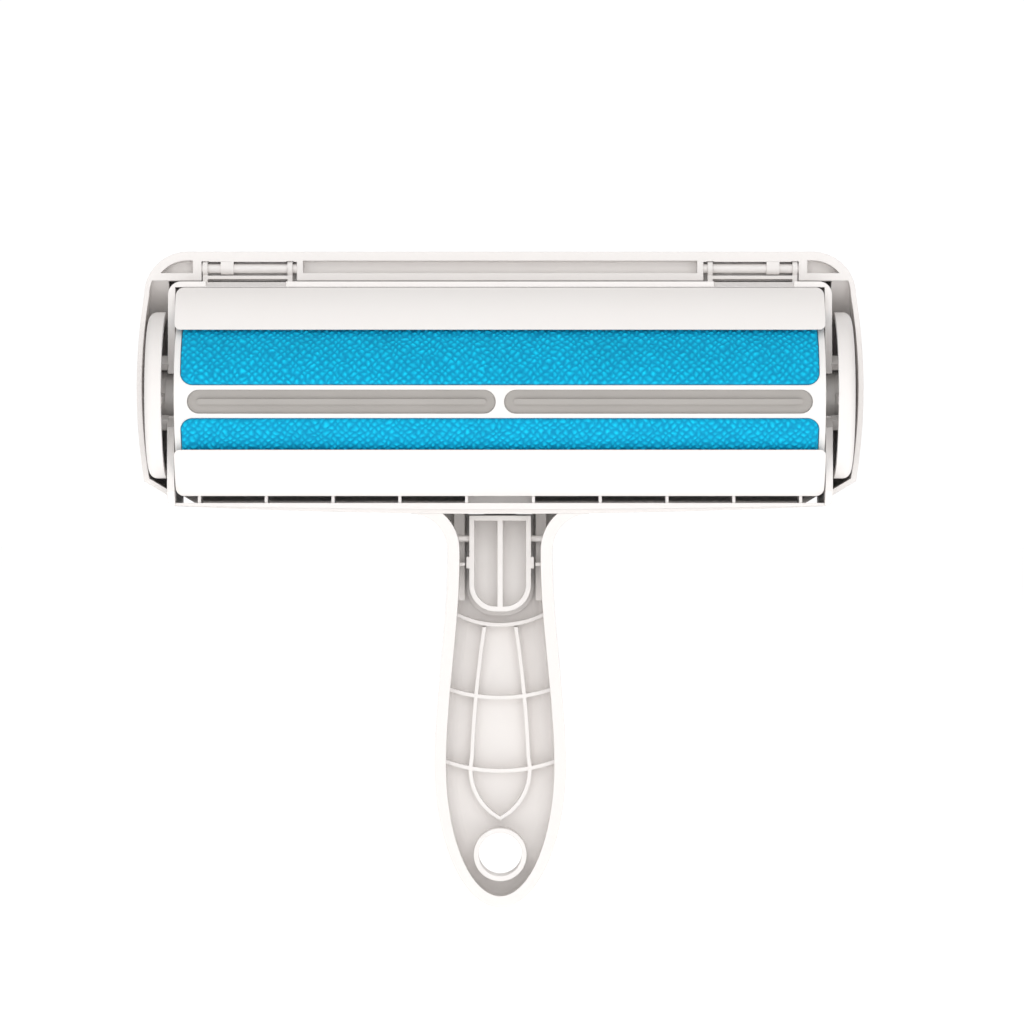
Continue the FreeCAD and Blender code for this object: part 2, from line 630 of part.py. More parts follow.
# ------------------------------------------------------------------ housing
def end_wall():
    """End wall on the +X side, with the snap-in bearing for the drum's journal."""
    bottom = FLOOR - FLOOR_THIN
    high, low = END_FRONT
    wire = shell((HEAD_FRONT, bottom), (low, bottom + 4), (low, high), (high, -JOURNAL_R), (high, 12.0),
                 (HEAD_FRONT, HEAD_TOP - 2), ((HEAD_FRONT + 0.6, HEAD_TOP - 0.6), (HEAD_FRONT + 2, HEAD_TOP)),
                 (TOP_WALL_BACK, HEAD_TOP), (24.0, 16.0), (FLOOR_BACK, -10.0), (FLOOR_BACK, bottom))
    wall = along_x(wire, HEAD_HALF - END_WALL, HEAD_HALF)
    bearing = rod(JOURNAL_R + SNUG, HEAD_HALF - END_WALL - 1, HEAD_HALF + 1)
    half = JOURNAL_R - 0.6
    mouth = block((HEAD_HALF - END_WALL - 1, HEAD_HALF + 1), (END_FRONT[1] - 1, 0), (-half, half))
    return wall.cut(bearing).cut(mouth)


def stop_lugs():
    """Two lugs outside the end wall that the wheel's rib meets at the ends of the drum's swing."""
    rib = math.degrees(STOP_RIB / 2 / STOP_R[0]) + 1.0
    upper = -REST_TURN + TRAVEL_UP + rib
    lower = -REST_TURN - TRAVEL_DOWN - rib
    return [sector(*STOP_R, upper, upper + STOP_SPAN, HEAD_HALF - 0.2, HEAD_HALF + STOP_HIGH),
            sector(*STOP_R, lower - STOP_SPAN, lower, HEAD_HALF - 0.2, HEAD_HALF + STOP_HIGH)]


def bottom_wall():
    """Bottom wall of the head, bowed in the middle; its front strip bows less."""
    low = FLOOR - FLOOR_THIN

    def part(bow, front, back):
        wire = shell((-HEAD_HALF, FLOOR), (HEAD_HALF, FLOOR), (HEAD_HALF, low),
                     ((0, low - bow), (-HEAD_HALF, low)), plane="xz")
        return along_y(wire, front, back)
    return part(LIP_BOW, HEAD_FRONT, FLOOR_BACK).fuse(part(FLOOR_BOW, HEAD_FRONT + LIP_DEEP, FLOOR_BACK))


def top_wall():
    """Top wall of the head, which slopes back at its front between each pair of hinge arms."""
    wall = block((-HEAD_HALF, HEAD_HALF), (HEAD_FRONT, TOP_WALL_BACK), (HEAD_TOP - TOP_WALL, HEAD_TOP))
    low, high = arm_places()[0][1], arm_places()[1][0]
    wedge = shell((HEAD_FRONT - 1, HEAD_TOP - TOP_WALL + 0.2), (HEAD_FRONT, HEAD_TOP - TOP_WALL + 0.2),
                  (HEAD_FRONT + NOTCH_DEEP, HEAD_TOP + 0.1), (HEAD_FRONT - 1, HEAD_TOP + 0.1))
    for notch in both(along_x(wedge, low, high)):
        wall = wall.cut(notch)
    return wall


def plate_ribs():
    """Thin ribs on the bottom wall that carry the lower scraper plate."""
    high = -SEAT_R - PLATE_WALL / 2
    first = -(RIB_COUNT - 1) / 2 * RIB_PITCH
    ribs = [block((-RIB_PITCH / 2, RIB_PITCH / 2), (-3.5, -2.3), (FLOOR - 0.2, high))]
    for i in range(RIB_COUNT):
        x = first + i * RIB_PITCH
        ribs.append(block((x - RIB_WALL / 2, x + RIB_WALL / 2), (HEAD_FRONT + 0.3, 2.0), (FLOOR - 0.2, high)))
    plate = below(scraper("lower"))
    return [rib.cut(plate) for rib in ribs]


def hinge_arms():
    """Arms with knuckles on the top wall, and the bar that joins each pair."""
    shapes = []
    places = arm_places()
    for low, high in places:
        knuckle = rod(KNUCKLE_R, low, high, HINGE_Y, HINGE_Z)
        post = block((low, high), (HINGE_Y - POST_FRONT, HINGE_Y + KNUCKLE_R), (HEAD_TOP - 0.5, HINGE_Z))
        bore = rod(HINGE_R + HINGE_FIT, low - 1, high + 1, HINGE_Y, HINGE_Z)
        shapes += both(fuse([knuckle, post]).cut(bore))
    bar = block((places[0][0], places[1][1]), (HINGE_Y - POST_FRONT, HINGE_Y + POST_FRONT),
                (HINGE_Z - 3.0, HINGE_Z - TAB_R - 0.25))
    return shapes + both(bar)


def button_window():
    """Opening in the handle's back for the button, with room for its swing."""
    return along_y(button_outline(BUTTON_GAP, NECK_CEILING - BUTTON_TOP, BUTTON_DROP), BUTTON_FRONT - 1, 40)


def housing():
    """Head frame and handle, one moulding."""
    shapes = both(end_wall()) + [top_wall(), bottom_wall()] + plate_ribs() + hinge_arms()
    for lug in stop_lugs():
        shapes += both(lug)
    body = fuse(shapes)
    for side in (1, -1):
        body = body.cut(corner_cutter(side * HEAD_HALF, HEAD_TOP, HEAD_CORNERS[0], (-20, 40)))
        body = body.cut(corner_cutter(side * HEAD_HALF, FLOOR - FLOOR_THIN, -HEAD_CORNERS[1], (-20, 40)))
    for name, flip in (("upper", 1), ("lower", -1)):
        y, z = PEG_PLACE[name]
        for hole in both(rod(PEG_R, HEAD_HALF - END_WALL - 1, HEAD_HALF + 1, y, flip * z)):
            body = body.cut(hole)
    side_view = along_x(handle_profile(0.0, HANDLE_ROUND), -60, 60)
    corners = [c.common(side_view) for c in neck_corners(0.0, FLOOR - 0.5, (-20, 40))]
    grip = fuse([handle_body()] + corners).cut(handle_hollow())
    region = rib_region()
    ribs = [cross_rib(z, sag).common(region) for z, sag in CROSS_RIBS] + [long_ribs().common(region)]
    grip = fuse([grip] + ribs + neck_shelves() + [hole_boss(HOLE_R + HOLE_BOSS)])
    body = body.fuse(grip)
    body = body.cut(hole_boss(HOLE_R, 10.0)).cut(button_window()).cut(hook_room())
    body = fuse([body] + guide_ledges())
    for seat in both(rod(PIVOT_R + PIVOT_FIT, BUTTON_HALF, PIVOT_REACH + 0.2, PIVOT_Y, PIVOT_Z)):
        body = body.cut(seat)
    return body.removeSplitter()


def hole_boss(radius, extra=0.0):
    """Round the hanging hole, along Y."""
    start = V(0, HOLE_Y - HOLE_LONG / 2 - extra, HOLE_Z)
    return Part.makeCylinder(radius, HOLE_LONG + 2 * extra, start, V(0, 1, 0))


# ------------------------------------------------------------------ button
def button_outline(grow=0.0, up=0.0, down=0.0):
    """Button seen from the front: square at the head, round at the other end."""
    half, low, top = BUTTON_HALF + grow, BUTTON_LOW - grow - down, BUTTON_TOP + up
    r = BUTTON_CORNER + grow
    bend = r * (1 - math.sqrt(0.5))
    return shell((-half, top), (half, top), (half, low + r), ((half - bend, low + bend), (half - r, low)),
                 (-half + r, low), ((-half + bend, low + bend), (-half, low + r)), plane="xz")


def button_block(inset, front):
    """Button's outer block, or its hollow: its outline up to a face that follows the handle's back."""
    outline = button_outline(-inset, -inset)
    skin = BUTTON_SKIN if inset else 0.0
    return along_y(outline, front, 40).common(along_x(handle_profile(-40, skin - BUTTON_PROUD), -40, 40))


def stop_flange():
    """Flange round the button, inside the handle's back: its lower part, and its upper part further in."""
    ring = along_y(button_outline(FLANGE[0], FLOOR_LOW - SNUG - BUTTON_TOP, FLANGE[1]), -10, 40)
    ring = ring.cut(along_y(button_outline(), -11, 41))
    split = PIVOT_Z - FLANGE_SPLIT
    parts = []
    for shift, z in ((0.0, (BUTTON_LOW - 5, split + 0.5)), (FLANGE_SHIFT, (split, NECK_CEILING))):
        face = SKIN_WALL + CLEAR + shift
        depth = along_x(handle_profile(-40, face), -40, 40).cut(
            along_x(handle_profile(-60, face + FLANGE_THICK), -41, 41))
        parts.append(ring.common(depth).common(block((-30, 30), (-20, 40), z)))
    return parts


def release_button():
    """Rocking button: finger piece, pivots, guide lugs and the hook that rises through the bottom wall."""
    body = button_block(0.0, BUTTON_FRONT)
    rim = [e for e in body.Edges
           if e.CenterOfMass.y > 15 and e.BoundBox.YLength < 8 and e.CenterOfMass.z < BUTTON_TOP - 1]
    body = body.makeFillet(1.0, rim)
    body = body.cut(button_block(BUTTON_WALL, BUTTON_FRONT - 5))
    rib = block((-BUTTON_RIB / 2, BUTTON_RIB / 2), (BUTTON_FRONT, 17.0), (BUTTON_LOW + 1, BUTTON_TOP - 0.6))
    pins = both(rod(PIVOT_R, BUTTON_HALF - 0.4, PIVOT_REACH, PIVOT_Y, PIVOT_Z))
    lugs = both(block((BUTTON_HALF - 0.4, BUTTON_HALF + LUG[0]), (BUTTON_FRONT, BUTTON_FRONT + 4),
                      (LUG_Z - LUG[1], LUG_Z + LUG[1])))
    hook = block((-HOOK_HALF, HOOK_HALF), HOOK_Y, (BUTTON_TOP - 1, HOOK_TOP))
    return fuse([body, rib, hook] + stop_flange() + pins + lugs)


def hook_room():
    """Slot in the bottom wall for the button's hook and its swing."""
    half = HOOK_HALF + 0.4
    return block((-half, half), (HOOK_Y[0] - 0.5, HOOK_Y[1] + 1.9), (BUTTON_TOP - 0.5, FLOOR + 0.5))


def neck_shelves():
    """Raised floor on both sides of the button, inside the neck."""
    x = (BUTTON_HALF + FLANGE[0] + 0.5, NECK_HALF - RIM_WALL / 2)
    body = handle_body()
    return [shelf.common(body) for shelf in both(block(x, (SHELF[0], 40), (SHELF[1], NECK_CEILING)))]


def guide_ledges():
    """Small ledges inside the neck, beside the button's lugs."""
    inner, outer = BUTTON_HALF + LUG[0] + 0.4, NECK_HALF - RIM_WALL / 2
    return both(block((inner, outer), (BUTTON_FRONT + 0.5, SHELF[0] + 0.2), (LUG_Z - LEDGE, LUG_Z)))


# ------------------------------------------------------------------ all pieces
def pieces():
    """Every node's shape, drawn about the drum's axis."""
    cap, disc, grip, pin = end_cap(), wheel(), grip_insert(), hinge_pin()
    return {
        "housing": housing(),
        "upper_scraper": scraper("upper"),
        "lower_scraper": below(scraper("lower")),
        "upper_cleaning_pad": cleaning_pad("upper"),
        "lower_cleaning_pad": below(cleaning_pad("lower")),
        "drum_frame": drum_frame(),
        "drum_core": drum_core(),
        "upper_fabric_strip": fabric_strip(1),
        "lower_fabric_strip": fabric_strip(-1),
        "right_grip_insert": grip,
        "left_grip_insert": mirrored(grip),
        "right_end_cap": cap,
        "left_end_cap": mirrored(cap),
        "right_wheel": disc,
        "left_wheel": mirrored(disc),
        "lid_shell": lid_shell(),
        "right_hinge_pin": pin,
        "left_hinge_pin": mirrored(pin),
        "release_button": release_button(),
    }


def main():
    os.makedirs("parts", exist_ok=True)
    for name, shape in pieces().items():
        shape.translate(V(0, -HOLE_Y, -HOLE_Z))
        shape.exportStep(f"parts/{name}.step")


main()
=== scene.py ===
"""Reusable lint roller with a rocking fabric drum: finishes, fabric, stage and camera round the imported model.

Everything is in metres.  X runs along the drum, -Y is the working side and +Z points up from the handle.
"""

import json

import bpy
import numpy as np
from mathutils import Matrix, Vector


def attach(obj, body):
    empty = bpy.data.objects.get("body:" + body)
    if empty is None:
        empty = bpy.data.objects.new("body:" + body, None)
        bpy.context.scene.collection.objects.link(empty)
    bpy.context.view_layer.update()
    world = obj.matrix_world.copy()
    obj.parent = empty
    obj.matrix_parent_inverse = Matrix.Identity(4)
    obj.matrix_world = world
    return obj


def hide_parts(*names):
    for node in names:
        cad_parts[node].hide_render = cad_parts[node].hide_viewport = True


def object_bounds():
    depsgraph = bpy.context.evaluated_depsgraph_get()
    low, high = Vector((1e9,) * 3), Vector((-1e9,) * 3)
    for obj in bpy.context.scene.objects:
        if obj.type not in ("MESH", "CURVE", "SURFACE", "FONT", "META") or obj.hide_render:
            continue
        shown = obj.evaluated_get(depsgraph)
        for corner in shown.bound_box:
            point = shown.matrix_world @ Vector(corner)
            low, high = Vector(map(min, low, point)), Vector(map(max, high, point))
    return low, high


bl_info = {
    "name": "Lint Roller",
    "version": (1, 0, 0),
    "blender": (4, 5, 0),
    "location": "3D View > Sidebar > Lint Roller",
    "description": "Finishes a reusable lint roller: moulded ABS, looped pile, rubber grips and a studio",
    "category": "Object",
}

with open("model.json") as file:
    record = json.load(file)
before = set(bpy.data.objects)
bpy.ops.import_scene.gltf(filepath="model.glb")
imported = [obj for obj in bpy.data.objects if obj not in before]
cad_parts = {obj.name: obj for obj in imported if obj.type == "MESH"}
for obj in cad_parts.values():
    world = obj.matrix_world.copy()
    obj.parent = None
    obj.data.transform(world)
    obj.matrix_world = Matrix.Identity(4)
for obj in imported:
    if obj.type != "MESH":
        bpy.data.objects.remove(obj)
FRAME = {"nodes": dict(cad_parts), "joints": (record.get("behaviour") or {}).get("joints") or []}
CAD_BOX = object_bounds()
NODES = FRAME["nodes"]
JOINTS = {joint["name"]: joint for joint in FRAME["joints"]}
DRUM_AXIS = JOINTS["drum_rock"]["pos_m"][1:]
MM = 0.001

# A piece of pile: the radii of its face and back about the drum's axis, its corner, and its grid's spacing.
STRIP_PILE = {"top": 22.15 * MM, "back": 20.0 * MM, "corner": 3.3 * MM, "facing": 1, "step": 0.27 * MM}
PAD_PILE = {"top": 23.5 * MM, "back": 24.6 * MM, "corner": 1.0 * MM, "facing": -1, "step": 0.3 * MM}
EDGE_HIGHLIGHT, EDGE_SMOOTH = 0.55, 0.12  # how much paler an edge is painted, as a painted highlight, and how much less rough a rubbed edge is

# Each soft light's name, place, width and power in watts.
SOFTBOXES = (("key softbox", (-0.3, -0.9, 1.6), 1.6, 8.0), ("front softbox", (0.1, -2.0, 0.3), 1.8, 18.0),
             ("back softbox", (0.3, 1.3, 0.9), 1.2, 4.0))
LIT_POINT = (0.0, 0.0, 0.09)  # the point that every soft light faces
LENS, SENSOR = 168.8, 36.0
CAMERA_PLACE = (0.0033, -1.330, -0.0323)  # from the drum's axis at the middle plane
FLOOR_GAP = 0.0004


def linear(code):
    """sRGB hex to linear light: c / 12.92 below 0.04045, else ((c + 0.055) / 1.055) ** 2.4."""
    parts = np.array([int(code[i : i + 2], 16) for i in (1, 3, 5)]) / 255
    made = np.where(parts <= 0.04045, parts / 12.92, ((parts + 0.055) / 1.055) ** 2.4)
    return (*made.tolist(), 1.0)


# ------------------------------------------------------------------ settings
class LintRollerSizes(bpy.types.PropertyGroup):
    """Sizes of the fabric and of the moulded surfaces."""

    loop_pitch: bpy.props.FloatProperty(
        name="Loop pitch", description="Distance between neighbouring loops of the pile", default=1.6 * MM,
        min=0.8 * MM, max=4 * MM, unit="LENGTH", precision=5)
    loop_height: bpy.props.FloatProperty(
        name="Loop height", description="How far the loops stand above the pile's base", default=0.52 * MM,
        min=0.1 * MM, max=1 * MM, unit="LENGTH", precision=5)
    loop_wander: bpy.props.FloatProperty(
        name="Loop wander", description="How far the loops stray from a regular pattern", default=0.55 * MM,
        min=0.0, max=1 * MM, unit="LENGTH", precision=5)
    edge_roll: bpy.props.FloatProperty(
        name="Edge roll", description="Radius of the pile's rolled edge", default=0.9 * MM,
        min=0.2 * MM, max=2 * MM, unit="LENGTH", precision=5)
    moulding_grain: bpy.props.FloatProperty(
        name="Moulding grain", description="Grain of the mould's spark finish", default=0.35 * MM,
        min=0.1 * MM, max=2 * MM, unit="LENGTH", precision=5)
    edge_radius: bpy.props.FloatProperty(
        name="Edge radius", description="Radius that softens the moulded edges in shading", default=0.25 * MM,
        min=0.0, max=1 * MM, unit="LENGTH", precision=5)


def colour(name, description, code):
    return bpy.props.FloatVectorProperty(
        name=name, description=description, subtype="COLOR", size=4, min=0.0, max=1.0, default=linear(code))


class LintRollerColours(bpy.types.PropertyGroup):
    """Colours of the finishes."""

    abs_white: colour("ABS", "Warm white of the housing, lid and wheels", "#eae7e5")
    plate_white: colour("Scraper plates", "Cooler white of the two scraper plates", "#ebe8e6")
    drum_white: colour("Drum", "White of the drum's frame", "#edebe9")
    # The pile's colour is painted between these two blues: the lighter tips are a painted highlight and the
    # darker blue between the loops is painted shade.
    pile_tip_highlight: colour("Pile tips", "Blue at the tips of the loops", "#0ad6fc")
    pile_root_shade: colour("Pile roots", "Blue between the loops", "#0092be")
    rubber_grey: colour("Rubber", "Grey of the grip inserts", "#a39f9b")
    floor_white: colour("Floor", "Plain pale floor", "#f7f7f7")


# ------------------------------------------------------------------ surfaces
def value_noise(x, y, cell, rng):
    """Smooth random height in -1..1: random values on a square grid of side cell, blended between a cell's
    four corners with the smoothstep weight 3 t^2 - 2 t^3 along each side."""
    across, along = (x - x.min()) / cell, (y - y.min()) / cell
    i, j = np.floor(across).astype(int), np.floor(along).astype(int)
    values = rng.uniform(-1, 1, (i.max() + 2, j.max() + 2))
    u, v = across - i, along - j
    u, v = u * u * (3 - 2 * u), v * v * (3 - 2 * v)
    near = values[i, j] * (1 - u) + values[i + 1, j] * u
    far = values[i, j + 1] * (1 - u) + values[i + 1, j + 1] * u
    return near * (1 - v) + far * v


def loop_heights(x, s, sizes, rng):
    """Height 0..1 of the looped pile at (x, s): a checkerboard of round loops, which is the product of two
    raised cosines along the two diagonals, after x and s have wandered by smooth noise.  Each loop is a
    little higher or lower, and fine noise roughens it."""
    wander = sizes.loop_wander
    wx = x + wander * (value_noise(x, s, 2.3 * MM, rng) + 0.5 * value_noise(x, s, 1.1 * MM, rng))
    ws = s + wander * (value_noise(x, s, 2.3 * MM, rng) + 0.5 * value_noise(x, s, 1.1 * MM, rng))
    turn = 2 * np.pi / (sizes.loop_pitch * np.sqrt(2))
    loops = (0.5 + 0.5 * np.cos(turn * (wx + ws))) * (0.5 + 0.5 * np.cos(turn * (wx - ws)))
    uneven = 0.80 + 0.20 * value_noise(x, s, 1.4 * MM, rng)
    fine = 0.14 * value_noise(x, s, 0.55 * MM, rng)
    return np.clip(loops ** 0.75 * uneven + fine, 0, 1)


def edge_distance(x, s, half_x, half_s, corner):
    """Distance inside a rounded rectangle centred on (0, 0): with q = |p| - half + corner, it is
    corner - length(max(q, 0)) - min(max(q), 0)."""
    qx, qs = np.abs(x) - half_x + corner, np.abs(s) - half_s + corner
    outside = np.hypot(np.maximum(qx, 0), np.maximum(qs, 0))
    return corner - outside - np.minimum(np.maximum(qx, qs), 0)


def curved_band(name, x, angle, radius, back_radius, facing):
    """A closed band round the drum's axis.  The face is the grid (x, -r cos a, r sin a) about the axis.  Its
    four sides drop to back_radius, where the back is one straight quad across the whole length for each row,
    because a round back is straight along x.  facing is 1 where the face looks away from the axis and -1
    where it looks in."""
    rows, columns = x.shape

    def place(px, pr, pa):
        y = DRUM_AXIS[0] - pr * np.cos(pa)
        z = DRUM_AXIS[1] + pr * np.sin(pa)
        return np.stack([px, y, z], axis=-1).reshape(-1, 3)

    face = place(x, radius, angle)
    ends = np.array([0, rows - 1])
    back_ends = place(x[ends], np.full((2, columns), back_radius), angle[ends])
    inner = slice(1, rows - 1)
    sides = np.array([0, columns - 1])
    back_sides = place(x[inner][:, sides], np.full((rows - 2, 2), back_radius), angle[inner][:, sides])
    index = np.arange(rows * columns).reshape(rows, columns)
    low = rows * columns + np.arange(columns)
    high = low + columns
    left = np.concatenate([[low[0]], high[-1] + 1 + 2 * np.arange(rows - 2), [high[0]]])
    right = np.concatenate([[low[-1]], high[-1] + 2 + 2 * np.arange(rows - 2), [high[-1]]])

    def quads(a, b, c, d):
        return np.stack([a, b, c, d], axis=-1).reshape(-1, 4)

    walls = np.concatenate([
        quads(index[:-1, :-1], index[:-1, 1:], index[1:, 1:], index[1:, :-1]),
        quads(index[0, :-1], low[:-1], low[1:], index[0, 1:]),
        quads(index[-1, :-1], index[-1, 1:], high[1:], high[:-1]),
        quads(index[:-1, 0], index[1:, 0], left[1:], left[:-1]),
        quads(index[:-1, -1], right[:-1], right[1:], index[1:, -1]),
        quads(left[1:-2], left[2:-1], right[2:-1], right[1:-2]),
    ])
    caps = [[*low.tolist()[::-1], int(left[1]), int(right[1])],
            [*high.tolist(), int(right[-2]), int(left[-2])]]
    faces = walls.tolist() + caps
    if facing < 0:
        faces = [f[::-1] for f in faces]
    points = np.concatenate([face, back_ends, back_sides])
    mesh = bpy.data.meshes.new(name)
    mesh.from_pydata(points.tolist(), [], faces)
    smooth = np.zeros(len(mesh.polygons), bool)
    smooth[: (rows - 1) * (columns - 1)] = True
    mesh.polygons.foreach_set("use_smooth", smooth)
    mesh.update()
    made = bpy.data.objects.new(name, mesh)
    bpy.context.scene.collection.objects.link(made)
    return made


def pile_band(name, node, top, back, corner, facing, step, seed):
    """A band of looped pile over the space of a CAD node: its face is at radius top + height, with a
    quarter-round rolled edge of radius r, sqrt(1 - (1 - d / r)^2) at distance d from the outline."""
    sizes = bpy.context.scene.lint_roller_sizes
    rng = np.random.default_rng(seed)
    co = np.empty(len(NODES[node].data.vertices) * 3)
    NODES[node].data.vertices.foreach_get("co", co)
    co = co.reshape(-1, 3) - [0, *DRUM_AXIS]
    half_x = co[:, 0].max()
    angles = np.arctan2(co[:, 2], -co[:, 1])
    middle, half_angle = (angles.max() + angles.min()) / 2, (angles.max() - angles.min()) / 2
    half_s = half_angle * top
    rows, columns = int(2 * half_s / step) + 1, int(2 * half_x / step) + 1
    s = np.linspace(-half_s, half_s, rows)[:, None] * np.ones((1, columns))
    near = np.clip(corner - (half_s - np.abs(s)), 0, corner)
    reach = half_x - corner + np.sqrt(np.maximum(corner**2 - near**2, 0))
    x = np.linspace(-1, 1, columns)[None, :] * reach
    inside = np.maximum(edge_distance(x, s, half_x, half_s, corner), 0)
    roll = np.sqrt(1 - (1 - np.minimum(inside / sizes.edge_roll, 1)) ** 2)
    loops = loop_heights(x, s, sizes, rng)
    depth = sizes.edge_roll * (1 - roll) - sizes.loop_height * loops * (0.25 + 0.75 * roll)
    made = curved_band(name, x, middle + s / top, top - facing * depth, back, facing)
    # The pile's colour follows this value. Low places between the loops and the rolled edge are painted darker
    # as shade, and high loop tips are painted lighter as a highlight.
    height = np.zeros(len(made.data.vertices), np.float32)
    height[: loops.size] = (loops * (0.4 + 0.6 * roll)).ravel()
    made.data.attributes.new("loop_height", "FLOAT", "POINT").data.foreach_set("value", height)
    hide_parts(node)
    return made


# ------------------------------------------------------------------ materials
def add(tree, kind, links=None, **settings):
    """Adds a node.  Settings are its own properties, or input values by name; links feeds inputs."""
    node = tree.nodes.new("ShaderNode" + kind)
    for key, value in settings.items():
        name = key.replace("_", " ")
        found = [i for i in node.inputs if i.name.lower() == name.lower() and i.enabled]
        if hasattr(node, key):
            setattr(node, key, value)
        elif found:
            found[0].default_value = value
        else:
            raise KeyError(f"{kind} has no {key}")
    for key, output in (links or {}).items():
        tree.links.new(output, node.inputs[key])
    return node


def material(name, view_colour):
    made = bpy.data.materials.new(name)
    made.use_nodes = True
    made.diffuse_color = view_colour
    made.node_tree.nodes.clear()
    return made, made.node_tree


def moulded_abs(name, base, roughness, grain_depth, seed):
    """Injection-moulded ABS from a spark-eroded mould: an even warm white whose tint drifts a little over
    40 mm with the melt's flow, a fine grain in the gloss, and edges painted a touch lighter as a highlight,
    where the gloss is rubbed smoother.  The grain is drawn coarser than a mould leaves it, which would be too
    fine to show."""
    sizes = bpy.context.scene.lint_roller_sizes
    made, tree = material(name, base)
    place = add(tree, "TexCoord").outputs["Object"]
    shifted = add(tree, "Mapping", {"Vector": place}, Location=(seed * 0.37, seed * 0.11, seed * 0.73))
    flow = add(tree, "TexNoise", {"Vector": shifted.outputs[0]}, Scale=1 / 0.040, Detail=3.0, Roughness=0.5)
    specks = add(tree, "TexNoise", {"Vector": shifted.outputs[0]}, Scale=1 / 0.004, Detail=4.0, Roughness=0.6)
    grain = add(tree, "TexNoise", {"Vector": shifted.outputs[0]}, Scale=1 / sizes.moulding_grain, Detail=2.0)
    soft = add(tree, "Bevel", samples=4, Radius=sizes.edge_radius)
    flat = add(tree, "NewGeometry")
    facing = add(tree, "VectorMath", operation="DOT_PRODUCT")
    tree.links.new(soft.outputs[0], facing.inputs[0])
    tree.links.new(flat.outputs["True Normal"], facing.inputs[1])
    edge = add(tree, "MapRange", {"Value": facing.outputs["Value"]},
               From_Min=0.99, From_Max=0.75, To_Min=0.0, To_Max=1.0)
    warm = [c * k for c, k in zip(base[:3], (0.985, 0.970, 0.962))] + [1.0]
    # Painted highlight: edges found by the Bevel normal are mixed towards this paler white.
    highlight_white = [min(1.0, c * 1.06) for c in base[:3]] + [1.0]
    tint = add(tree, "Mix", data_type="RGBA")
    tree.links.new(flow.outputs["Fac"], tint.inputs["Factor"])
    tint.inputs[6].default_value, tint.inputs[7].default_value = base, warm
    lit = add(tree, "Mix", data_type="RGBA")
    # Strength of the painted highlight on the edges.
    painted_edge_light = add(tree, "Math", {0: edge.outputs["Result"]}, operation="MULTIPLY")
    painted_edge_light.inputs[1].default_value = EDGE_HIGHLIGHT
    tree.links.new(painted_edge_light.outputs[0], lit.inputs["Factor"])
    tree.links.new(tint.outputs[2], lit.inputs[6])
    lit.inputs[7].default_value = highlight_white
    gloss = add(tree, "MapRange", {"Value": specks.outputs["Fac"]},
                From_Min=0.3, From_Max=0.7, To_Min=roughness - 0.05, To_Max=roughness + 0.07)
    worn = add(tree, "Math", {0: edge.outputs["Result"]}, operation="MULTIPLY")
    worn.inputs[1].default_value = -EDGE_SMOOTH
    rough = add(tree, "Math", {0: gloss.outputs["Result"], 1: worn.outputs[0]}, operation="ADD")
    bump = add(tree, "Bump", {"Height": grain.outputs["Fac"], "Normal": soft.outputs[0]},
               Strength=0.35, Distance=grain_depth)
    shader = add(tree, "BsdfPrincipled", {"Base Color": lit.outputs[2], "Roughness": rough.outputs[0],
                                          "Normal": bump.outputs[0]}, IOR=1.53)
    add(tree, "OutputMaterial", {"Surface": shader.outputs["BSDF"]})
    return made


def looped_pile():
    """Warp-knitted nylon pile: round loops whose tips are painted lighter as a highlight and whose roots are
    painted a deeper blue as shade, each loop a little different in tone, with fine fibres across them and only
    a trace of sheen.  The fibres are drawn at 0.22 mm, coarser than real ones, which would be too fine to show."""
    colours = bpy.context.scene.lint_roller_colours
    made, tree = material("nylon looped pile", colours.pile_tip_highlight)
    place = add(tree, "TexCoord").outputs["Object"]
    height = add(tree, "Attribute", attribute_name="loop_height", attribute_type="GEOMETRY")
    patches = add(tree, "TexNoise", {"Vector": place}, Scale=1 / 0.012, Detail=3.0)
    yarns = add(tree, "TexNoise", {"Vector": place}, Scale=1 / 0.0017, Detail=2.0)
    fibres = add(tree, "TexNoise", {"Vector": place}, Scale=1 / 0.00022, Detail=3.0, Roughness=0.7)
    # Painted light: the loop's height mixes the painted shade between the loops into the painted highlight at
    # the tips, with random yarn tone.
    painted_loop_light = add(tree, "Math", {0: height.outputs["Fac"]}, operation="MULTIPLY")
    tree.links.new(add(tree, "MapRange", {"Value": yarns.outputs["Fac"]}, From_Min=0.3, From_Max=0.7,
                       To_Min=0.78, To_Max=1.12).outputs["Result"], painted_loop_light.inputs[1])
    base = add(tree, "Mix", {"Factor": painted_loop_light.outputs[0]}, data_type="RGBA")
    base.inputs[6].default_value = tuple(colours.pile_root_shade)
    base.inputs[7].default_value = tuple(colours.pile_tip_highlight)
    shade = add(tree, "MapRange", {"Value": patches.outputs["Fac"]}, From_Min=0.25, From_Max=0.75,
                To_Min=0.93, To_Max=1.05)
    toned = add(tree, "HueSaturation", {"Color": base.outputs[2], "Value": shade.outputs["Result"]})
    rough = add(tree, "MapRange", {"Value": fibres.outputs["Fac"]}, From_Min=0.2, From_Max=0.8,
                To_Min=0.72, To_Max=0.92)
    bump = add(tree, "Bump", {"Height": fibres.outputs["Fac"]}, Strength=0.5, Distance=0.06 * MM)
    shader = add(tree, "BsdfPrincipled", {"Base Color": toned.outputs[0],
                                          "Roughness": rough.outputs["Result"],
                                          "Normal": bump.outputs[0]}, IOR=1.5, Specular_IOR_Level=0.2,
                 Sheen_Weight=0.05, Sheen_Roughness=0.4, Sheen_Tint=(0.3, 0.8, 1.0, 1.0))
    add(tree, "OutputMaterial", {"Surface": shader.outputs["BSDF"]})
    return made


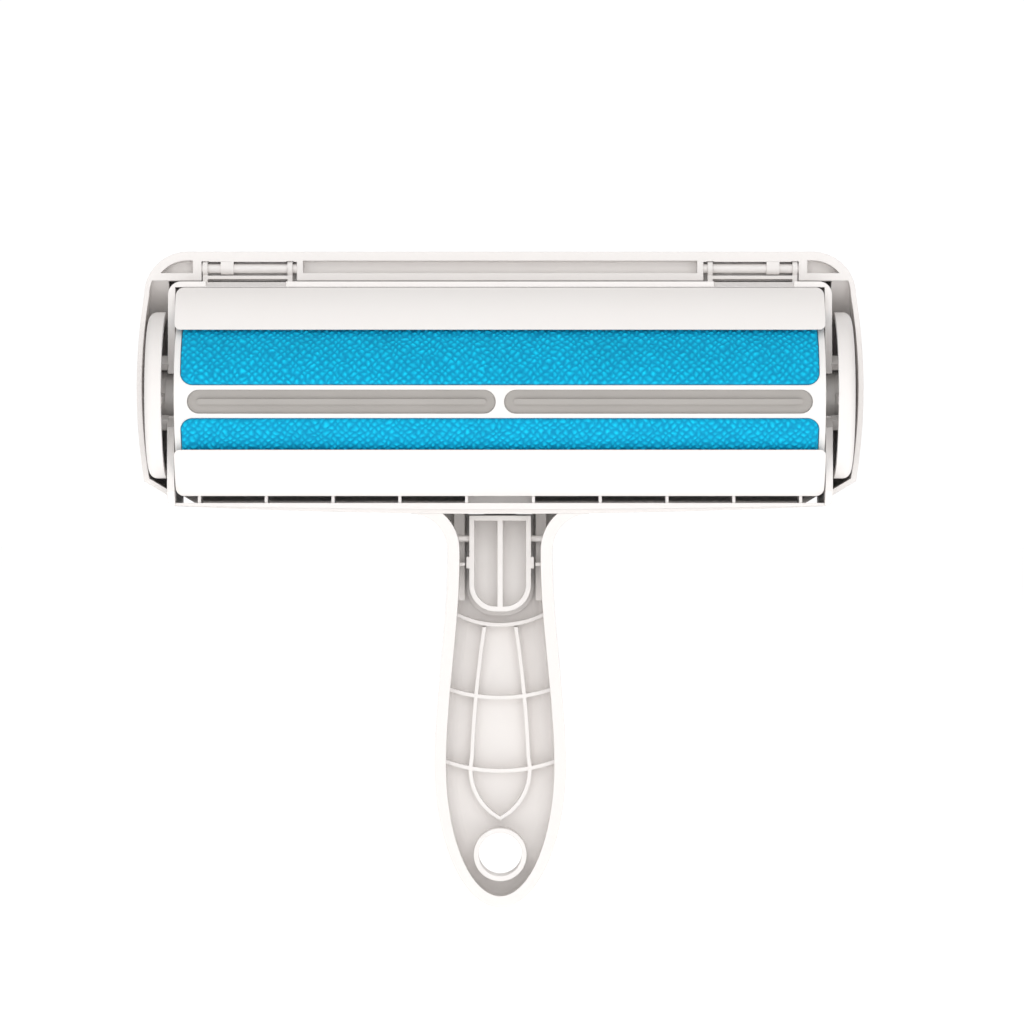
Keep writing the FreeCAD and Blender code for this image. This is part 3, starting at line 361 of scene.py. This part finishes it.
def grip_rubber():
    """Matt moulded TPR: an even mid grey with a soft bloom on its flats, fine grain and faint scuffs.  The
    grain is drawn at 0.4 mm, coarser than a mould leaves it, so that it shows."""
    colours = bpy.context.scene.lint_roller_colours
    base = tuple(colours.rubber_grey)
    made, tree = material("TPR grip rubber", base)
    place = add(tree, "TexCoord").outputs["Object"]
    along = add(tree, "Mapping", {"Vector": place}, Scale=(0.12, 1.0, 1.0))
    scuffs = add(tree, "TexNoise", {"Vector": along.outputs[0]}, Scale=1 / 0.0016, Detail=4.0)
    bloom = add(tree, "TexNoise", {"Vector": place}, Scale=1 / 0.018, Detail=2.0)
    grain = add(tree, "TexNoise", {"Vector": place}, Scale=1 / 0.0004, Detail=2.0)
    tint = add(tree, "Mix", {"Factor": bloom.outputs["Fac"]}, data_type="RGBA")
    tint.inputs[6].default_value = base
    tint.inputs[7].default_value = [min(1, c * 1.14) for c in base[:3]] + [1.0]
    rough = add(tree, "MapRange", {"Value": scuffs.outputs["Fac"]}, From_Min=0.3, From_Max=0.7,
                To_Min=0.55, To_Max=0.72)
    bump = add(tree, "Bump", {"Height": grain.outputs["Fac"]}, Strength=0.4, Distance=0.03 * MM)
    shader = add(tree, "BsdfPrincipled", {"Base Color": tint.outputs[2], "Roughness": rough.outputs["Result"],
                                          "Normal": bump.outputs[0]}, IOR=1.5)
    add(tree, "OutputMaterial", {"Surface": shader.outputs["BSDF"]})
    return made


def painted_floor():
    """Matt white sweep, lit from within like a light table, with a faint mottle that never repeats."""
    colours = bpy.context.scene.lint_roller_colours
    base = tuple(colours.floor_white)
    made, tree = material("matt white sweep", base)
    place = add(tree, "TexCoord").outputs["Object"]
    mottle = add(tree, "TexNoise", {"Vector": place}, Scale=3.0, Detail=2.0)
    tint = add(tree, "Mix", {"Factor": mottle.outputs["Fac"]}, data_type="RGBA")
    tint.inputs[6].default_value, tint.inputs[7].default_value = base, [c * 0.985 for c in base[:3]] + [1.0]
    shader = add(tree, "BsdfPrincipled", {"Base Color": tint.outputs[2], "Emission Color": tint.outputs[2]},
                 Roughness=0.9, Emission_Strength=0.66)
    add(tree, "OutputMaterial", {"Surface": shader.outputs["BSDF"]})
    return made


def dress(node_names, finish):
    """Gives CAD nodes a finish in every material slot they have."""
    for name in node_names:
        mesh = NODES[name].data
        if not mesh.materials:
            mesh.materials.append(finish)
        for i in range(len(mesh.materials)):
            mesh.materials[i] = finish


def colour_of(name):
    return tuple(getattr(bpy.context.scene.lint_roller_colours, name))


# ------------------------------------------------------------------ operators
class LintRollerHousing(bpy.types.Operator):
    """Finish the head and handle, which are one moulding."""

    bl_idname = "lint_roller.housing"
    bl_label = "Finish the housing"

    def execute(self, context):
        finish = moulded_abs("satin ABS housing", colour_of("abs_white"), 0.44, 0.03 * MM, 1)
        dress(["housing"], finish)
        return {"FINISHED"}


class LintRollerLid(bpy.types.Operator):
    """Finish the dust-box lid and its two hinge pins."""

    bl_idname = "lint_roller.lid"
    bl_label = "Finish the lid"

    def execute(self, context):
        finish = moulded_abs("satin ABS lid", colour_of("abs_white"), 0.42, 0.03 * MM, 2)
        dress(["lid_shell", "left_hinge_pin", "right_hinge_pin"], finish)
        return {"FINISHED"}


class LintRollerScrapers(bpy.types.Operator):
    """Finish the two scraper plates."""

    bl_idname = "lint_roller.scrapers"
    bl_label = "Finish the scraper plates"

    def execute(self, context):
        finish = moulded_abs("smooth ABS plates", colour_of("plate_white"), 0.38, 0.02 * MM, 3)
        dress(["upper_scraper", "lower_scraper"], finish)
        return {"FINISHED"}


class LintRollerDrum(bpy.types.Operator):
    """Finish the drum's frame, core and end caps."""

    bl_idname = "lint_roller.drum"
    bl_label = "Finish the drum"

    def execute(self, context):
        finish = moulded_abs("smooth ABS drum", colour_of("drum_white"), 0.36, 0.02 * MM, 4)
        dress(["drum_frame", "drum_core", "left_end_cap", "right_end_cap"], finish)
        return {"FINISHED"}


class LintRollerWheels(bpy.types.Operator):
    """Finish the two side wheels."""

    bl_idname = "lint_roller.wheels"
    bl_label = "Finish the wheels"

    def execute(self, context):
        finish = moulded_abs("satin ABS wheels", colour_of("abs_white"), 0.45, 0.03 * MM, 5)
        dress(["left_wheel", "right_wheel"], finish)
        return {"FINISHED"}


class LintRollerStrips(bpy.types.Operator):
    """Make the drum's two strips of looped pile."""

    bl_idname = "lint_roller.strips"
    bl_label = "Make the fabric strips"

    def execute(self, context):
        finish = looped_pile()
        for seed, place in enumerate(("upper", "lower")):
            node = place + "_fabric_strip"
            strip = pile_band(place + "_pile_strip", node, seed=11 + seed, **STRIP_PILE)
            strip.data.materials.append(finish)
            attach(strip, "drum")
        return {"FINISHED"}


class LintRollerPads(bpy.types.Operator):
    """Make the two pads that wipe the strips clean."""

    bl_idname = "lint_roller.pads"
    bl_label = "Make the cleaning pads"

    def execute(self, context):
        finish = bpy.data.materials.get("nylon looped pile") or looped_pile()
        for seed, place in enumerate(("upper", "lower")):
            node = place + "_cleaning_pad"
            pad = pile_band(place + "_pile_pad", node, seed=21 + seed, **PAD_PILE)
            pad.data.materials.append(finish)
            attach(pad, "root")
        return {"FINISHED"}


class LintRollerGrips(bpy.types.Operator):
    """Finish the two rubber inserts in the drum's bar."""

    bl_idname = "lint_roller.grips"
    bl_label = "Finish the grip inserts"

    def execute(self, context):
        dress(["left_grip_insert", "right_grip_insert"], grip_rubber())
        return {"FINISHED"}


class LintRollerButton(bpy.types.Operator):
    """Finish the button that lets the lid go."""

    bl_idname = "lint_roller.button"
    bl_label = "Finish the release button"

    def execute(self, context):
        finish = moulded_abs("satin ABS button", colour_of("abs_white"), 0.40, 0.03 * MM, 6)
        dress(["release_button"], finish)
        return {"FINISHED"}


class LintRollerStage(bpy.types.Operator):
    """Make the floor, the soft light and the camera."""

    bl_idname = "lint_roller.stage"
    bl_label = "Set the stage"

    def execute(self, context):
        scene = context.scene
        self.floor()
        self.world(scene)
        for softbox in SOFTBOXES:
            self.softbox(*softbox)
        data = bpy.data.cameras.new("studio camera")
        data.lens, data.sensor_width = LENS, SENSOR
        data.clip_start, data.clip_end = 0.05, 50.0
        camera = bpy.data.objects.new("studio camera", data)
        camera.location = (CAMERA_PLACE[0], DRUM_AXIS[0] + CAMERA_PLACE[1], DRUM_AXIS[1] + CAMERA_PLACE[2])
        camera.rotation_euler = (np.pi / 2, 0.0, 0.0)
        scene.collection.objects.link(camera)
        scene.camera = camera
        scene.view_settings.view_transform = "Standard"
        return {"FINISHED"}

    @staticmethod
    def floor():
        """A flat round floor just under the handle's tip: rings of points (r cos t, r sin t)."""
        rings, spokes, level = 6, 64, CAD_BOX[0].z - FLOOR_GAP
        r = np.geomspace(0.3, 14.0, rings)[:, None]
        t = np.linspace(0, 2 * np.pi, spokes, endpoint=False)[None, :]
        height = np.full((rings, spokes), level)
        ring = np.stack([r * np.cos(t), r * np.sin(t), height], axis=-1).reshape(-1, 3)
        points = np.concatenate([[[0.0, 0.0, level]], ring])
        index = 1 + np.arange(rings * spokes).reshape(rings, spokes)
        following = np.roll(index, -1, axis=1)
        centre = np.stack([np.zeros(spokes, int), index[0], following[0]], axis=-1)
        bands = np.stack([index[:-1], index[1:], following[1:], following[:-1]], axis=-1).reshape(-1, 4)
        mesh = bpy.data.meshes.new("floor")
        mesh.from_pydata(points.tolist(), [], centre.tolist() + bands.tolist())
        mesh.materials.append(painted_floor())
        floor = bpy.data.objects.new("floor", mesh)
        bpy.context.scene.collection.objects.link(floor)

    @staticmethod
    def world(scene):
        """White surroundings, a little dimmer as a light than as a background."""
        world = bpy.data.worlds.new("white studio")
        world.use_nodes = True
        tree = world.node_tree
        tree.nodes.clear()
        light = add(tree, "Background", Color=(1.0, 0.992, 0.985, 1.0), Strength=0.43)
        seen = add(tree, "Background", Color=(1.0, 1.0, 1.0, 1.0), Strength=1.05)
        path = add(tree, "LightPath")
        both = add(tree, "MixShader", {0: path.outputs["Is Camera Ray"], 1: light.outputs[0],
                                       2: seen.outputs[0]})
        add(tree, "OutputWorld", {"Surface": both.outputs[0]})
        scene.world = world

    @staticmethod
    def softbox(name, place, size, power):
        data = bpy.data.lights.new(name, "AREA")
        data.shape, data.size, data.energy = "SQUARE", size, power
        lamp = bpy.data.objects.new(name, data)
        lamp.location = place
        aim = np.array(LIT_POINT) - np.array(place)
        lamp.rotation_mode = "XYZ"
        flat = np.hypot(aim[0], aim[1])
        lamp.rotation_euler = (np.pi / 2 + np.arctan2(aim[2], flat), 0.0, np.arctan2(-aim[0], aim[1]))
        bpy.context.scene.collection.objects.link(lamp)


class LintRollerPanel(bpy.types.Panel):
    """Sizes, colours and one button for each group of pieces."""

    bl_idname = "VIEW3D_PT_lint_roller"
    bl_label = "Lint Roller"
    bl_space_type = "VIEW_3D"
    bl_region_type = "UI"
    bl_category = "Lint Roller"

    def draw(self, context):
        for group in (context.scene.lint_roller_sizes, context.scene.lint_roller_colours):
            box = self.layout.box()
            for key in group.__annotations__:
                box.prop(group, key)
        for operator in OPERATORS:
            self.layout.operator(operator.bl_idname)


OPERATORS = (LintRollerHousing, LintRollerLid, LintRollerScrapers, LintRollerDrum, LintRollerWheels,
             LintRollerStrips, LintRollerPads, LintRollerGrips, LintRollerButton, LintRollerStage)
CLASSES = (LintRollerSizes, LintRollerColours, *OPERATORS, LintRollerPanel)


def register():
    for cls in CLASSES:
        bpy.utils.register_class(cls)
    bpy.types.Scene.lint_roller_sizes = bpy.props.PointerProperty(type=LintRollerSizes)
    bpy.types.Scene.lint_roller_colours = bpy.props.PointerProperty(type=LintRollerColours)


def unregister():
    del bpy.types.Scene.lint_roller_sizes, bpy.types.Scene.lint_roller_colours
    for cls in reversed(CLASSES):
        bpy.utils.unregister_class(cls)


def main():
    register()
    for operator in OPERATORS:
        group, name = operator.bl_idname.split(".")
        getattr(getattr(bpy.ops, group), name)()


if __name__ == "__main__":
    main()
